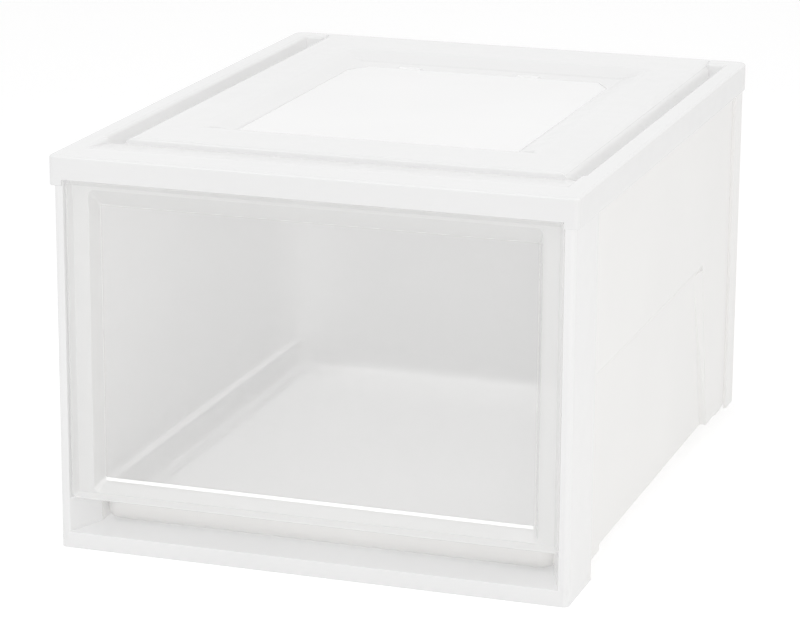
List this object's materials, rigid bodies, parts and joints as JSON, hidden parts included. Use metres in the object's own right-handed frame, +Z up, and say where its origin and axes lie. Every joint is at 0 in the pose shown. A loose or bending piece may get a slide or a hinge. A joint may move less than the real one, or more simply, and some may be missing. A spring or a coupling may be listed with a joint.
{
  "type": "stackable drawer box",
  "caption": "White plastic box with a clip-on top that takes another box, a frosted window in the top and a see-through drawer that slides out to the front.",
  "frame": {"origin": "middle of the footprint, on the floor under the feet", "axes": "+Z up, +X to the box's right seen from the front, the drawer opens towards -Y"},
  "size_m": [0.392, 0.51, 0.295],
  "materials": {
    "case_white": "white moulded polypropylene, soft gloss, very fine moulded texture",
    "panel_white": "warm white moulded polypropylene, soft gloss",
    "window_frosted": "frosted milky polypropylene sheet",
    "drawer_clear": "translucent natural polypropylene, soft gloss",
    "front_clear": "clear natural polypropylene, glossy front face with polished edges"
  },
  "bodies": {
    "case": {"front_frame": "case_white", "side_panel_left": "panel_white", "side_panel_right": "panel_white", "back_panel": "panel_white", "top_cap": "case_white", "top_window": "window_frosted"},
    "drawer": {"drawer_tray": "drawer_clear", "drawer_front": "front_clear"}
  },
  "joints": [
    {"name": "drawer_slide", "type": "slide", "parent": "case", "child": "drawer", "axis": [0, -1, 0], "range_m": [0, 0.37]}
  ]
}
